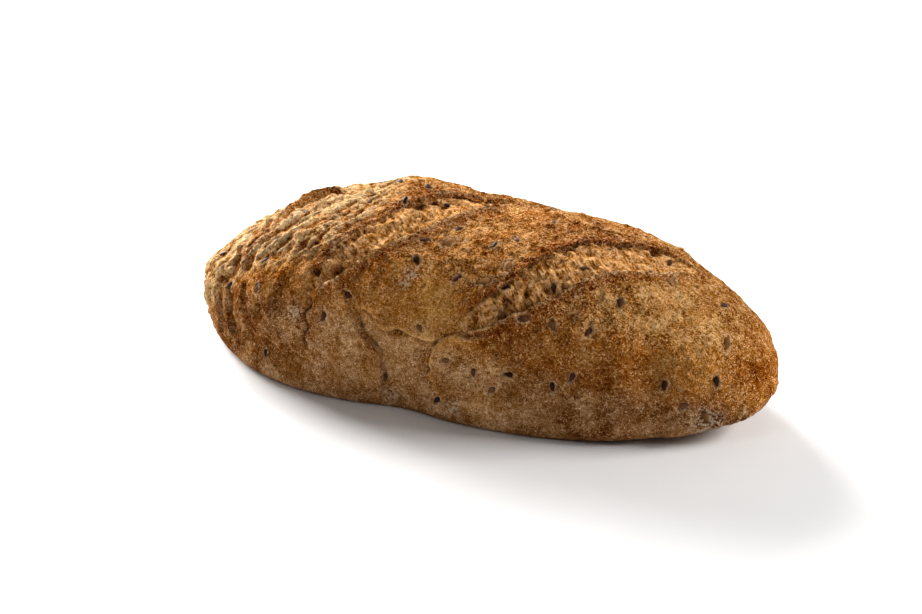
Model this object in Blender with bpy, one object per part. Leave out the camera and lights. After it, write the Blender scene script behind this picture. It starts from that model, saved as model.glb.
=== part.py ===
# Spelt bread: one free-standing loaf, slashed across the top and set with seeds.
#
# The loaf is a form of closed rings along X, with a flat base to rest on.
# A place on the crust is a station, along X, and a girth, round the crust from its crest:
# a negative girth is on the front, towards -Y. All sizes here are in millimetres.

import bmesh
import bpy
import numpy as np

MM = 0.001
SEED = 4126

# The loaf's form
HALF_LENGTH = 133.5
STATIONS = np.array([-1.0, -0.66, -0.33, 0.0, 0.33, 0.66, 1.0])
CREST = np.array([69.0, 76.5, 75.0, 68.5, 73.0, 76.0, 69.5])
HALF_WIDTH = np.array([58.0, 64.5, 60.5, 56.5, 57.0, 56.5, 58.5])
MIDDLE = np.array([4.5, 1.2, -1.3, -3.3, -5.6, -7.7, -10.0])
WAIST = 23.0
BELLY = 27.0
CREST_ENDS = (1.5, 1.8)
WIDTH_ENDS = (2.2, 1.9)
BELLY_ENDS = (5.0, 2.7)
SHOULDER = 0.79
CROWN = 0.86
HEEL = 0.15
# Dents in the foot of the front: station, share of the half width, radius
FRONT_DENTS = [(-15, 0.06, 17), (97, 0.06, 12), (-62, -0.02, 20)]
BASE_SPREAD = 0.35
BASE_BAND = (0.4, 6.0)

# The mesh, before it is reduced
RING_STEP = 1.1
RING_POINTS = 280
FACES_KEPT = 6600

# Slashes: the front lip and the back lip, as (station, girth)
RIGHT_FRONT_LIP = [(9, -66), (26, -60), (39, -51), (52, -38), (68, -21), (84, -6), (96, 13)]
RIGHT_BACK_LIP = [(9, -66), (13, -58), (28, -40), (36, -25), (50, -5), (66, 7), (84, 15), (96, 13)]
MIDDLE_FRONT_LIP = [(-58, -60), (-46, -55), (-33, -41), (-21, -26), (-12, -11), (-3, 8), (6, 25)]
MIDDLE_BACK_LIP = [(-58, -60), (-54, -46), (-42, -22), (-28, 5), (-20, 15), (-4, 17), (6, 25)]
LEFT_FRONT_LIP = [(-108, -36), (-98, -31), (-91, -12), (-84, 5), (-72, 17)]
LEFT_BACK_LIP = [(-108, -36), (-99, -30), (-95, -4), (-90, 11), (-82, 18), (-72, 17)]

# For each lip: how far it stands up, how deep the gap under it is where it gapes and elsewhere,
# and the stretch where it gapes, as shares of its length. Then how far the crumb has sunk.
RIGHT_SLASH = dict(front=(1.4, 2.8, 0.3, 0.14, 0.60), back=(0.8, 1.2, 0.7, 0.25, 0.95), sunk=0.4, flap=0.0)
MIDDLE_SLASH = dict(front=(1.4, 2.8, 0.6, 0.04, 0.30), back=(0.4, 1.6, 0.2, 0.48, 0.66), sunk=0.4, flap=0.0)
LEFT_SLASH = dict(front=(0.3, 0.6, 0.3, 0.2, 0.8), back=(3.2, 2.0, 0.4, 0.45, 0.95), sunk=0.4, flap=1.0)
LIP_REACH = 5.0
GAP_REACH = 2.0
LIP_LEAN = 0.7
RIM_RISE = 0.7
RIM_WIDTH = 0.65
RAGGED = 0.7

# Creases: path, depth, width, and how far the side to the left of the path stands above the other
CREASES = [
    ([(-57, -60), (-54, -64), (-57, -69), (-55, -74), (-57, -80), (-54, -87)], 2.6, 1.1, 0.8),
    ([(-34, -64), (-29, -73), (-23, -79), (-21, -88), (-21, -104)], 1.4, 1.0, -1.2),
    ([(-41, -57), (-38, -64), (-35, -69)], 0.4, 1.0, -1.3),
    ([(29, -67), (33, -73), (35, -80), (39, -93)], 0.6, 1.0, -0.9),
    ([(-112, -37), (-104, -38), (-98, -36)], 2.0, 1.5, 1.2),
    ([(-92, -30), (-84, -17), (-76, -6), (-66, 8)], 1.6, 1.3, 0.9),
    ([(-122, -10), (-114, -8), (-108, 2)], 1.5, 1.3, 0.9),
    ([(-106, -30), (-103, -16), (-101, 0)], 1.2, 1.3, 0.9),
    ([(-101, -70), (-104, -54), (-104, -44)], 1.4, 1.6, 1.3),
    ([(-111, -64), (-112, -50), (-110, -40)], 1.4, 1.4, 1.4),
    ([(-93, -62), (-93, -52), (-96, -44)], 0.7, 1.2, 1.0),
    ([(-74, -66), (-73, -58), (-70, -50)], 0.5, 0.9, 0.8),
    ([(-74, -30), (-62, -10), (-52, 12)], 1.1, 1.1, 0.7),
    ([(-84, -40), (-76, -28), (-70, -14)], 1.0, 1.1, 0.8),
    ([(-66, -44), (-58, -28), (-50, -12), (-42, 6)], 0.9, 1.0, -0.6),
    ([(14, 62), (30, 78), (44, 92)], 1.2, 1.4, 0.9),
    ([(-70, 66), (-58, 82), (-52, 98)], 1.4, 1.4, 0.9),
]
STEP_REACH = 5.0
# Edges of crust that stand over the crust below: path, rise of the side to its left, drop of the other side,
# and how far the edge is toasted
LEDGES = [
    ([(-33, -62), (-27, -64), (-22, -69), (-13, -67), (-6, -69), (2, -69), (8, -67)], 2.4, 1.3, 1.0),
    ([(27, -62), (20, -65), (9, -66), (4, -71), (2, -79), (5, -90), (13, -98)], 1.9, 1.3, 0.8),
    ([(-32, 2), (-26, 3), (-19, 6)], 1.6, 1.2, 1.0),
    ([(-28, 11), (-23, 14), (-17, 18)], 1.6, 0.8, 1.0),
    ([(-18, 19), (-12, 20), (-3, 16)], 1.2, 0.9, 0.5),
    ([(-9, 22), (-2, 22), (7, 26)], 1.2, 0.6, 0.6),
]
LEDGE_REACH = 4.0
# The groove at the foot of an edge: depth, how far out, width
GROOVE = (0.25, 0.9, 0.8)

# Swellings and hollows, and small pits: station, girth, height or depth, radius
LUMPS = [(-42, 26, 3.4, 16), (-90, 18, 1.8, 12), (-68, 20, -2.6, 12), (92, -50, -2.6, 8),
         (103, -50, 1.6, 7), (-3, -84, 1.2, 12), (20, -84, 1.4, 13), (40, 4, 1.0, 14),
         (-25, -52, 1.0, 16), (112, -20, 0.8, 14), (60, 62, 1.6, 26), (-30, 74, 1.8, 28),
         (-90, 60, 1.2, 20), (28, 26, -1.0, 16), (64, 22, 1.2, 14), (-45, -57, 1.6, 2.2)]
PITS = [(-28, -2, 4.0, 3.0), (-25, 4, 3.4, 2.4), (-19, 2, 3.0, 2.2), (-46, -49, 3.4, 2.8),
        (-56, -50, 3.0, 2.0), (-80, -11, 2.4, 2.2), (-68, -36, 1.8, 2.4), (-103, -34, 2.6, 3.6),
        (-96, -38, 1.6, 3.0), (75, 9, 2.4, 1.8), (31, -47, 2.4, 2.2), (38, -42, 2.2, 2.0),
        (46, -13, 2.0, 1.8)]

# The rough crust: (size, height) of each octave, and the blisters
ROUGH = [(26.0, 1.3), (11.0, 0.8), (5.0, 0.45)]
CRUMB_ROUGH = (4.0, 0.9)
WRINKLE = dict(along=20.0, across=5.0, height=1.8, turn=0.90, station=-34.0, girth=-50.0)
BLISTERS = 240
BLISTER_STATIONS = (-122, 124)
BLISTER_GIRTHS = (-95, 95)
BLISTER_RADIUS = (1.8, 4.4)
BLISTER_HEIGHT = (0.3, 1.0)

# Seeds: half length, half width and half thickness
FLAX = (2.1, 1.15, 0.75)
GRAIN = (3.0, 1.6, 1.0)
SEED_SUNK = 0.45
# Where the crust shows seeds: what is spread there, how many, the stations and the girths
SEED_BANDS = [(GRAIN, 3, (-26, 68), (-58, 16)), (GRAIN, 4, (66, 128), (-58, 10)),
              (GRAIN, 4, (-128, 128), (18, 92)), (FLAX, 16, (-26, 68), (-58, 16)),
              (FLAX, 6, (66, 128), (-58, 10)), (FLAX, 10, (-120, -28), (-60, 20)),
              (FLAX, 11, (-110, 95), (-96, -60)), (FLAX, 34, (-128, 128), (18, 92))]
SEED_SPACING = 9.0
SEED_LOWEST = 8.0


def smooth_curve(xs, ys, x):
    """A cubic through the points (xs, ys), read at x."""
    slope = np.gradient(ys, xs)
    i = np.clip(np.searchsorted(xs, x) - 1, 0, len(xs) - 2)
    h = xs[i + 1] - xs[i]
    f = (x - xs[i]) / h
    rise = ys[i + 1] - ys[i]
    bend = f * (1 - f) * ((1 - f) * (slope[i] * h - rise) - f * (slope[i + 1] * h - rise))
    return ys[i] + rise * f + bend


def closing(t, ends):
    """How the form closes towards its two ends: one in the middle, nothing at the tips."""
    n = np.where(t < 0, ends[0], ends[1])
    return np.maximum(1 - np.abs(t) ** n, 0) ** (1 / n)


def half_section(t, side=1.0, count=220):
    """Half of the section at t (-1 to 1), from crest to middle of the base; side is -1 at the front."""
    quarter = np.linspace(0, np.pi / 2, count)
    out = np.sin(quarter) ** SHOULDER
    top = np.cos(quarter) ** CROWN
    under = np.sin(quarter)
    turn = (1 - under ** (2 / HEEL)) ** (SHOULDER / 2)
    width = smooth_curve(STATIONS, HALF_WIDTH, t) * closing(t, WIDTH_ENDS)
    if side < 0:
        for at, share, reach in FRONT_DENTS:
            width *= 1 - share * np.exp(-((HALF_LENGTH * t - at) / reach) ** 2)
    rise = (smooth_curve(STATIONS, CREST, t) - WAIST) * closing(t, CREST_ENDS)
    drop = BELLY * closing(t, BELLY_ENDS)
    y = width * np.concatenate([out, turn[1:]])
    z = np.concatenate([WAIST + rise * top, WAIST - drop * under[1:]])
    return y, np.maximum(z, 0.0)


def lengths(y, z, base_share=1.0):
    """Running length of a half section; its flat base can count for less."""
    step = np.hypot(np.diff(y), np.diff(z))
    flat = (z[1:] < 0.01) & (z[:-1] < 0.01)
    return np.concatenate([[0], np.cumsum(step * np.where(flat, base_share, 1.0))])


def ring(t, count):
    """One closed ring of points, as (x, y, z, station, girth) rows."""
    share = np.arange(count) / count
    side = np.where(share <= 0.5, 1.0, -1.0)
    middle = smooth_curve(STATIONS, MIDDLE, t)
    rows = np.empty((count, 5))
    rows[:, 0] = rows[:, 3] = HALF_LENGTH * t
    for sign in (1.0, -1.0):
        y, z = half_section(t, sign)
        spread = lengths(y, z, BASE_SPREAD)
        here = side == sign
        along = np.where(share <= 0.5, share, 1 - share)[here] * 2 * spread[-1]
        rows[here, 1] = middle + sign * np.interp(along, spread, y)
        rows[here, 2] = np.interp(along, spread, z)
        rows[here, 4] = sign * np.interp(along, spread, lengths(y, z))
    return rows


def stations_along():
    """Where the rings stand, evenly spaced over the crust from tip to tip."""
    t = -np.cos(np.linspace(0, np.pi, 1501))
    size = np.array([lengths(*half_section(v))[-1] for v in t]) / np.pi
    run = np.concatenate([[0], np.cumsum(np.hypot(np.diff(t) * HALF_LENGTH, np.diff(size)))])
    cap = RING_POINTS // 8
    count = max(int(run[-1] / RING_STEP), 2 * cap + 2)
    return np.interp(np.linspace(0, run[-1], count + 1), run, t), cap


def form():
    """The plain loaf: points and quads, with square-ringed caps at both tips."""
    stops, cap = stations_along()
    last = len(stops) - 1
    sizes = [8 * min(k, last - k, cap) or 1 for k in range(last + 1)]
    starts = np.concatenate([[0], np.cumsum(sizes)])
    rows = [ring(t, n) for t, n in zip(stops, sizes)]
    quads = []
    for k in range(last):
        a, b, na, nb = starts[k], starts[k + 1], sizes[k], sizes[k + 1]
        if na == nb:
            i = np.arange(na)
            j = (i + 1) % na
            quads.append(np.stack([a + i, a + j, b + j, b + i], 1))
            continue
        grow = nb > na
        big, small, nbig, nsmall = (b, a, nb, na) if grow else (a, b, na, nb)
        side = nbig // 4
        inner = side - 2
        for s in range(4):
            for m in range(side):
                p = s * side + m
                corner = small + ((s * inner) % nsmall if nsmall > 1 else 0)
                if m == 0:
                    face = [big + (p - 1) % nbig, big + p, big + (p + 1) % nbig, corner]
                elif m <= side - 2:
                    first = small + (s * inner + m - 1) % nsmall
                    second = small + (s * inner + m) % nsmall
                    face = [big + p, big + (p + 1) % nbig, second, first]
                else:
                    continue
                quads.append(np.array([face if not grow else face[::-1]]))
    return np.concatenate(rows), np.concatenate(quads)


def vertex_normals(points, quads):
    """Outward normals of the points, from the quads round them."""
    face = np.cross(points[quads[:, 2]] - points[quads[:, 0]], points[quads[:, 3]] - points[quads[:, 1]])
    total = np.zeros_like(points)
    for c in range(4):
        np.add.at(total, quads[:, c], face)
    return total / np.maximum(np.linalg.norm(total, axis=1, keepdims=True), 1e-9)


def rounded_path(points, ragged=0.0, step=0.25):
    """A smooth path through (station, girth) points, at close steps; it can be ragged, as a tear is."""
    p = np.array(points, float)
    run = np.concatenate([[0], np.cumsum(np.hypot(*np.diff(p, axis=0).T))])
    at = np.linspace(0, run[-1], int(run[-1] / step) + 2)
    path = np.stack([smooth_curve(run, p[:, 0], at), smooth_curve(run, p[:, 1], at)], 1)
    if ragged:
        across = np.gradient(path, axis=0)[:, ::-1] * (1, -1)
        across /= np.linalg.norm(across, axis=1, keepdims=True)
        where = np.stack([at, np.full_like(at, p[1, 0]), np.zeros_like(at)], 1)
        swing = noise(where / 6.0, 20) + 0.5 * noise(where / 2.6, 21)
        swing *= np.sqrt(np.abs(np.sin(np.pi * at / run[-1])))
        path += ragged * across * swing[:, None]
    return path


def on_form(places):
    """The places (station, girth) as points of the plain form."""
    out = []
    for station, girth in places:
        t = np.clip(station / HALF_LENGTH, -0.999, 0.999)
        side = 1.0 if girth >= 0 else -1.0
        y, z = half_section(t, side)
        run = lengths(y, z)
        out.append((station, smooth_curve(STATIONS, MIDDLE, t) + side * np.interp(abs(girth), run, y),
                    np.interp(abs(girth), run, z)))
    return np.array(out)


def near_path(points, normals, path, reach):
    """For points within reach of a path: index, distance, signed side, share along it, nearest, left."""
    line = on_form(path[::2])
    tangent = np.gradient(line, axis=0)
    tangent /= np.linalg.norm(tangent, axis=1, keepdims=True)
    low, high = line.min(0) - reach, line.max(0) + reach
    index = np.nonzero(np.all((points > low) & (points < high), axis=1))[0]
    best = np.empty(len(index), int)
    for start in range(0, len(index), 4000):
        some = index[start:start + 4000]
        gap = points[some][:, None, :] - line[None, :, :]
        best[start:start + 4000] = np.argmin(np.einsum("ijk,ijk->ij", gap, gap), axis=1)
    gap = points[index] - line[best]
    distance = np.linalg.norm(gap, axis=1)
    left = np.cross(normals[index], tangent[best])
    side = np.einsum("ij,ij->i", gap, left)
    keep = distance < reach
    best = best[keep]
    return index[keep], distance[keep], side[keep], best / (len(line) - 1), line[best], left[keep]


def inside(places, edge):
    """Which (station, girth) places lie inside the closed edge."""
    x, y = places[:, 0], places[:, 1]
    found = np.zeros(len(places), bool)
    for (x0, y0), (x1, y1) in zip(edge, np.roll(edge, -1, axis=0)):
        if y0 == y1:
            continue
        crosses = ((y0 > y) != (y1 > y)) & (x < (x1 - x0) * (y - y0) / (y1 - y0) + x0)
        found ^= crosses
    return found


def ease(x, low, high):
    """Nothing below low, one above high, smooth between."""
    f = np.clip((x - low) / (high - low), 0, 1)
    return f * f * (3 - 2 * f)


def noise(points, seed=0):
    """Smooth gradient noise, about -1 to 1, one lattice cell to a unit."""
    draw = np.random.default_rng(SEED + seed)
    gradients = draw.normal(size=(256, 3))
    gradients /= np.linalg.norm(gradients, axis=1, keepdims=True)
    order = draw.permutation(256)
    cell = np.floor(points).astype(int)
    f = points - cell
    w = f * f * f * (f * (f * 6 - 15) + 10)
    total = np.zeros(len(points))
    for corner in range(8):
        step = np.array([corner & 1, (corner >> 1) & 1, corner >> 2])
        c = (cell + step) & 255
        g = gradients[order[(order[(order[c[:, 0]] + c[:, 1]) & 255] + c[:, 2]) & 255]]
        share = np.prod(np.where(step == 1, w, 1 - w), axis=1)
        total += share * np.einsum("ij,ij->i", g, f - step)
    return total * 1.6


def slash(state, front, back, sizes):
    """Opens one slash: lips that stand up and lean over a gap, with sunken crumb between."""
    points, normals, places = state["points"], state["normals"], state["places"]
    front_path, back_path = rounded_path(front, RAGGED), rounded_path(back, RAGGED)
    within = inside(places, np.concatenate([front_path, back_path[::-1]]))
    snap = RING_STEP * 0.5
    depth = np.zeros(len(points))
    edge = np.full(len(points), 99.0)
    for path, sign, lip_sizes in ((front_path, -1, sizes["front"]), (back_path, 1, sizes["back"])):
        lip, gape, gap, start, stop = lip_sizes
        index, distance, _, share, place, left = near_path(points, normals, path, 30.0)
        ends = ease(share, 0.0, 0.12) * ease(1 - share, 0.0, 0.16)
        held = (distance < snap) & (share > 0) & (share < 1)
        within[index[held]] = False
        wall = sizes["flap"] * (sign > 0) * ends * (within[index] | held) * (1 - ease(distance, 1.5, 3.5))
        state["ledge"][index] = np.maximum(state["ledge"][index], wall)
        crumb = within[index]
        state["shift"][index[held]] += place[held] - points[index[held]]
        gaping = ease(share, start - 0.06, start + 0.06) * ease(stop + 0.06 - share, 0, 0.12)
        lift = lip * ends * (0.5 + 0.5 * gaping) * np.exp(-distance / LIP_REACH)
        rim = (1 - sizes["flap"]) * ends * np.exp(-(distance / RIM_WIDTH) ** 2)
        rim = np.where(crumb | (sign > 0), 0, rim)
        state["rim_line"][index] = np.maximum(state["rim_line"][index], rim)
        state["height"][index] += np.where(crumb, 0, lift + RIM_RISE * rim)
        open_by = gap + (gape - gap) * gaping
        depth[index] += np.where(crumb, open_by * ends * np.exp(-distance / GAP_REACH), 0)
        lean = LIP_LEAN * ends * np.exp(-distance / 1.2)
        state["shift"][index] -= np.where(crumb, -0.6 * sign * lean, sign * lean)[:, None] * left
        toasted = np.where(crumb, 0, ends * np.exp(-distance / 4.0))
        state["lip"][index] = np.maximum(state["lip"][index], toasted)
        edge[index] = np.minimum(edge[index], distance)
    state["height"] -= np.where(within, depth + sizes["sunk"], 0)
    state["crumb"] = np.maximum(state["crumb"], within * ease(edge, 0.3, 1.6) * (1 - 0.8 * sizes["flap"]))


def relief(points, quads, places):
    """The crust's relief: height along the normal and shift along the crust, for every point."""
    normals = vertex_normals(points, quads)
    n = len(points)
    state = dict(points=points, normals=normals, places=places, height=np.zeros(n), shift=np.zeros((n, 3)),
                 lip=np.zeros(n), crumb=np.zeros(n), ledge=np.zeros(n), rim_line=np.zeros(n))
    slash(state, RIGHT_FRONT_LIP, RIGHT_BACK_LIP, RIGHT_SLASH)
    slash(state, MIDDLE_FRONT_LIP, MIDDLE_BACK_LIP, MIDDLE_SLASH)
    slash(state, LEFT_FRONT_LIP, LEFT_BACK_LIP, LEFT_SLASH)
    height, crumb = state["height"], state["crumb"]
    for path, depth, width, step in CREASES:
        index, distance, side, share, _, _ = near_path(points, normals, rounded_path(path, RAGGED), 14.0)
        ends = ease(share, 0.0, 0.12) * ease(1 - share, 0.0, 0.25)
        ends *= np.where((share > 0) & (share < 1), 1.0, 0.0)
        height[index] -= ends * depth * np.exp(-(distance / width) ** 2)
        height[index] += ends * step * np.tanh(side / 0.8) * np.exp(-distance / STEP_REACH)
    for path, rise, drop, toasted in LEDGES:
        index, distance, side, share, _, _ = near_path(points, normals, rounded_path(path, 0.4), 16.0)
        ends = ease(share, 0.0, 0.1) * ease(1 - share, 0.0, 0.2)
        step = np.where(side > 0, rise, drop) * np.tanh(side / 0.5)
        height[index] += ends * step * np.exp(-distance / LEDGE_REACH)
        groove = ((side + GROOVE[1]) / GROOVE[2]) ** 2 + (distance - np.abs(side)) ** 2
        height[index] -= GROOVE[0] * ends * np.exp(-groove)
        edge = ends * toasted * (side > -0.3) * np.exp(-distance / 1.6)
        state["ledge"][index] = np.maximum(state["ledge"][index], edge)
        crest = 0.7 * ends * toasted * (side > -0.2) * np.exp(-(distance / 0.9) ** 2)
        state["rim_line"][index] = np.maximum(state["rim_line"][index], crest)
    for station, girth, rise, radius in LUMPS:
        centre = on_form([(station, girth)])[0]
        height += rise * np.exp(-(np.linalg.norm(points - centre, axis=1) / radius) ** 2)
    for station, girth, depth, radius in PITS:
        centre = on_form([(station, girth)])[0]
        height -= depth * np.exp(-(np.linalg.norm(points - centre, axis=1) / radius) ** 4)
    for k, (size, rise) in enumerate(ROUGH):
        height += rise * noise(points / size, k)
    height += CRUMB_ROUGH[1] * crumb * noise(points / CRUMB_ROUGH[0], 7)
    torn = ease(-places[:, 0], -WRINKLE["station"], 20 - WRINKLE["station"])
    torn *= ease(places[:, 1], WRINKLE["girth"], WRINKLE["girth"] + 14) * ease(60 - places[:, 1], 0, 30)
    c, s = np.cos(WRINKLE["turn"]), np.sin(WRINKLE["turn"])
    folds = np.stack([(places[:, 0] * c + places[:, 1] * s) / WRINKLE["along"],
                      (places[:, 1] * c - places[:, 0] * s) / WRINKLE["across"], points[:, 2] / 30], 1)
    height += WRINKLE["height"] * torn * (0.5 - np.abs(noise(folds, 9)) * 1.6)
    draw = np.random.default_rng(SEED + 50)
    for _ in range(BLISTERS):
        centre = on_form([(draw.uniform(*BLISTER_STATIONS), draw.uniform(*BLISTER_GIRTHS))])[0]
        radius, rise = draw.uniform(*BLISTER_RADIUS), draw.uniform(*BLISTER_HEIGHT)
        distance = np.linalg.norm(points - centre, axis=1) / radius
        height += rise * (1 - ease(distance, 0.3, 1.0)) * (1 - crumb)
    above = ease(points[:, 2], *BASE_BAND)
    state["torn"] = torn
    moved = points + above[:, None] * (state["shift"] + height[:, None] * normals)
    moved[:, 2] = np.maximum(moved[:, 2], 0.0)
    return moved, state


def seed_places():
    """Places for the seeds: in each band a spread of draws that keep apart."""
    draw = np.random.default_rng(SEED + 90)
    where = np.empty((0, 3))
    sizes = []
    for size, count, stations, girths in SEED_BANDS:
        wanted = len(sizes) + count
        while len(sizes) < wanted:
            centre = on_form([(draw.uniform(*stations), draw.uniform(*girths))])
            apart = np.linalg.norm(where - centre, axis=1).min(initial=SEED_SPACING)
            if centre[0, 2] < SEED_LOWEST or apart < SEED_SPACING:
                continue
            where = np.concatenate([where, centre])
            sizes.append(size)
    turns = draw.uniform(0, np.pi, len(sizes))
    return list(zip(where, sizes, turns))


def seed_axes(centre, turn, plain, normals):
    """The axes of a seed that lies flat at its place: up, along and across."""
    nearest = np.argsort(np.linalg.norm(plain - centre, axis=1))[:7]
    up = normals[nearest].sum(0)
    up /= np.linalg.norm(up)
    run = np.cross(up, (0.0, 1.0, 0.3))
    run /= np.linalg.norm(run)
    run = np.cos(turn) * run + np.sin(turn) * np.cross(up, run)
    return up, run, np.cross(up, run)


def lay_seed(centre, size, turn, plain, points, normals):
    """Where one seed lies on the crust: its middle and its three axes."""
    up, run, wide = seed_axes(centre, turn, plain, normals)
    nearest = np.argmin(np.linalg.norm(plain - centre, axis=1))
    return points[nearest] - up * SEED_SUNK * size[2], (run, wide, up)


def make_object(name, points, faces, material):
    """A mesh object in metres, with its faces turned outwards."""
    mesh = bpy.data.meshes.new(name)
    mesh.from_pydata([tuple(p * MM) for p in points], [], [tuple(int(i) for i in f) for f in faces])
    shaped = bmesh.new()
    shaped.from_mesh(mesh)
    bmesh.ops.recalc_face_normals(shaped, faces=shaped.faces)
    bmesh.ops.triangulate(shaped, faces=shaped.faces)
    shaped.to_mesh(mesh)
    shaped.free()
    mesh.materials.append(material)
    thing = bpy.data.objects.new(name, mesh)
    bpy.context.scene.collection.objects.link(thing)
    return thing


def plain_material(name, colour, roughness):
    """A simple material in one colour."""
    material = bpy.data.materials.new(name)
    material.use_nodes = True
    shader = material.node_tree.nodes["Principled BSDF"]
    shader.inputs["Base Color"].default_value = (*colour, 1.0)
    shader.inputs["Roughness"].default_value = roughness
    return material


def apply_modifiers(thing):
    """Applies everything in the object's modifier stack."""
    bpy.context.view_layer.objects.active = thing
    for modifier in list(thing.modifiers):
        bpy.ops.object.modifier_apply(modifier=modifier.name)


def drop_scrap(thing):
    """Keeps the largest connected piece of the mesh and drops any loose scrap."""
    shaped = bmesh.new()
    shaped.from_mesh(thing.data)
    waiting = set(shaped.verts)
    pieces = []
    while waiting:
        edge = [waiting.pop()]
        piece = []
        while edge:
            vertex = edge.pop()
            piece.append(vertex)
            for link in vertex.link_edges:
                other = link.other_vert(vertex)
                if other in waiting:
                    waiting.remove(other)
                    edge.append(other)
        pieces.append(piece)
    pieces.sort(key=len)
    for piece in pieces[:-1]:
        bmesh.ops.delete(shaped, geom=piece, context="VERTS")
    shaped.to_mesh(thing.data)
    shaped.free()


def main():
    for old in list(bpy.data.objects):
        bpy.data.objects.remove(old, do_unlink=True)
    crust = plain_material("crust", (0.36, 0.19, 0.08), 0.8)
    rows, quads = form()
    plain, places = rows[:, :3], rows[:, 3:]
    if np.einsum("ij,ij->", vertex_normals(plain, quads), plain - (0, 0, WAIST)) < 0:
        quads = quads[:, ::-1]
    points, _ = relief(plain, quads, places)
    normals = vertex_normals(points, quads)
    loaf = make_object("spelt_loaf", points, quads, crust)
    reduce = loaf.modifiers.new("reduce", "DECIMATE")
    reduce.ratio = FACES_KEPT / len(loaf.data.polygons)
    apply_modifiers(loaf)

    seeds = bpy.data.collections.new("seeds")
    bpy.context.scene.collection.children.link(seeds)
    shape = bmesh.new()
    bmesh.ops.create_icosphere(shape, subdivisions=1, radius=1.0)
    corners = np.array([v.co[:] for v in shape.verts])
    sides = [[v.index for v in f.verts] for f in shape.faces]
    shape.free()
    for i, (centre, size, turn) in enumerate(seed_places()):
        middle, axes = lay_seed(centre, size, turn, plain, points, normals)
        body = middle + (corners * size) @ np.array(axes)
        seed = make_object(f"seed_{i}", body, sides, crust)
        bpy.context.scene.collection.objects.unlink(seed)
        seeds.objects.link(seed)
    join = loaf.modifiers.new("join", "BOOLEAN")
    join.operation = "UNION"
    join.operand_type = "COLLECTION"
    join.collection = seeds
    join.solver = "MANIFOLD"
    apply_modifiers(loaf)
    for seed in list(seeds.objects):
        bpy.data.objects.remove(seed, do_unlink=True)
    bpy.data.collections.remove(seeds)
    drop_scrap(loaf)


main()
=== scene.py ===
# Spelt bread: the look of the loaf, built on the frame that the CAD gives.
#
# The crust is the CAD's own form and relief on a finer mesh. A place on the crust is a station,
# along X, and a girth, round the crust from its crest: a negative girth is on the front, towards -Y.
# Sizes are in millimetres up to the meshes, which are in metres.

import math

import bmesh
import bpy
import numpy as np
from mathutils import Matrix, Vector

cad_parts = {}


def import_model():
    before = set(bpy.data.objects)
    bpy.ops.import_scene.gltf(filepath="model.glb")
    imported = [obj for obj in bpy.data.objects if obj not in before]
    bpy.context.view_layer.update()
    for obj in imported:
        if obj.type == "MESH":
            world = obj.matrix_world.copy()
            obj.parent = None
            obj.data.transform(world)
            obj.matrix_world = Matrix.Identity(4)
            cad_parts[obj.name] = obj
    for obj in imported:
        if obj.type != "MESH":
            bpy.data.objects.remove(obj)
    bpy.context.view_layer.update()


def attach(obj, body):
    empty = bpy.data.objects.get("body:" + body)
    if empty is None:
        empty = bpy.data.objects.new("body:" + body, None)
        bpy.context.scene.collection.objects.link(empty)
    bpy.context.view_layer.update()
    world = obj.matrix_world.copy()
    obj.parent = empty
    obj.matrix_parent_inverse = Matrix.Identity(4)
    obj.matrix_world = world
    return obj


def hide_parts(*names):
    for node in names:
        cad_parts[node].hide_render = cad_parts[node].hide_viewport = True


MM = 0.001
SEED = 4126

# The loaf's form
HALF_LENGTH = 133.5
STATIONS = np.array([-1.0, -0.66, -0.33, 0.0, 0.33, 0.66, 1.0])
CREST = np.array([69.0, 76.5, 75.0, 68.5, 73.0, 76.0, 69.5])
HALF_WIDTH = np.array([58.0, 64.5, 60.5, 56.5, 57.0, 56.5, 58.5])
MIDDLE = np.array([4.5, 1.2, -1.3, -3.3, -5.6, -7.7, -10.0])
WAIST = 23.0
BELLY = 27.0
CREST_ENDS = (1.5, 1.8)
WIDTH_ENDS = (2.2, 1.9)
BELLY_ENDS = (5.0, 2.7)
SHOULDER = 0.79
CROWN = 0.86
HEEL = 0.15
# Dents in the foot of the front: station, share of the half width, radius
FRONT_DENTS = [(-15, 0.06, 17), (97, 0.06, 12), (-62, -0.02, 20)]
BASE_SPREAD = 0.35
BASE_BAND = (0.4, 6.0)

# The mesh
RING_STEP = 0.7
RING_POINTS = 424

# Slashes: the front lip and the back lip, as (station, girth)
RIGHT_FRONT_LIP = [(9, -66), (26, -60), (39, -51), (52, -38), (68, -21), (84, -6), (96, 13)]
RIGHT_BACK_LIP = [(9, -66), (13, -58), (28, -40), (36, -25), (50, -5), (66, 7), (84, 15), (96, 13)]
MIDDLE_FRONT_LIP = [(-58, -60), (-46, -55), (-33, -41), (-21, -26), (-12, -11), (-3, 8), (6, 25)]
MIDDLE_BACK_LIP = [(-58, -60), (-54, -46), (-42, -22), (-28, 5), (-20, 15), (-4, 17), (6, 25)]
LEFT_FRONT_LIP = [(-108, -36), (-98, -31), (-91, -12), (-84, 5), (-72, 17)]
LEFT_BACK_LIP = [(-108, -36), (-99, -30), (-95, -4), (-90, 11), (-82, 18), (-72, 17)]

# For each lip: how far it stands up, how deep the gap under it is where it gapes and elsewhere,
# and the stretch where it gapes, as shares of its length. Then how far the crumb has sunk.
RIGHT_SLASH = dict(front=(1.4, 2.8, 0.3, 0.14, 0.60), back=(0.8, 1.2, 0.7, 0.25, 0.95), sunk=0.4, flap=0.0)
MIDDLE_SLASH = dict(front=(1.4, 2.8, 0.6, 0.04, 0.30), back=(0.4, 1.6, 0.2, 0.48, 0.66), sunk=0.4, flap=0.0)
LEFT_SLASH = dict(front=(0.3, 0.6, 0.3, 0.2, 0.8), back=(3.2, 2.0, 0.4, 0.45, 0.95), sunk=0.4, flap=1.0)
LIP_REACH = 5.0
GAP_REACH = 2.0
LIP_LEAN = 0.7
# The rim of a front lip: its rise and width; the rim also carries a painted highlight
RIM_RISE = 0.7
RIM_WIDTH = 0.65
RAGGED = 0.7

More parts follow.
